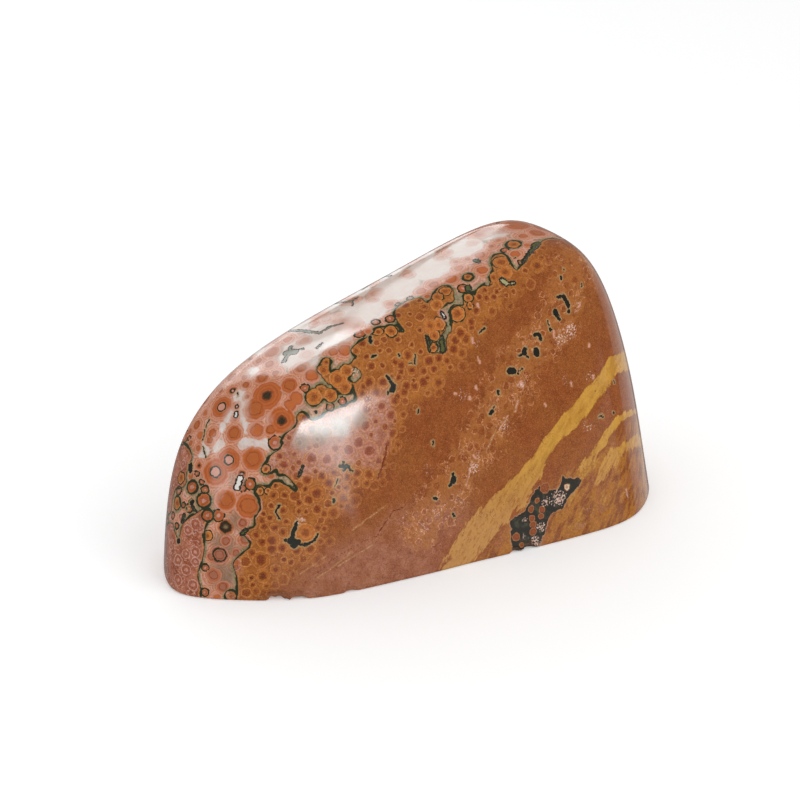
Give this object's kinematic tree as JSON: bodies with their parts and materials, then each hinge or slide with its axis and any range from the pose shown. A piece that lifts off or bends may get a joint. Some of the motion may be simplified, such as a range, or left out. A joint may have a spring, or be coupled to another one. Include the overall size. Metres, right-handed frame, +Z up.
{
  "type": "polished jasper stone",
  "caption": "Polished freeform stone of orbicular landscape jasper, a low end rising to a tall one, that stands on a flat sawn base.",
  "frame": {"origin": "middle of the flat sawn base", "axes": "+X along the stone towards its tall end, -Y out of the broad show face, +Z up"},
  "size_m": [0.15, 0.0676, 0.0773],
  "materials": {
    "polished_jasper": "high polish over rust brown jasper with salmon and ochre orbs, dark green outlines and ochre bands"
  },
  "bodies": {
    "root": {"jasper_stone": "polished_jasper"}
  },
  "joints": []
}
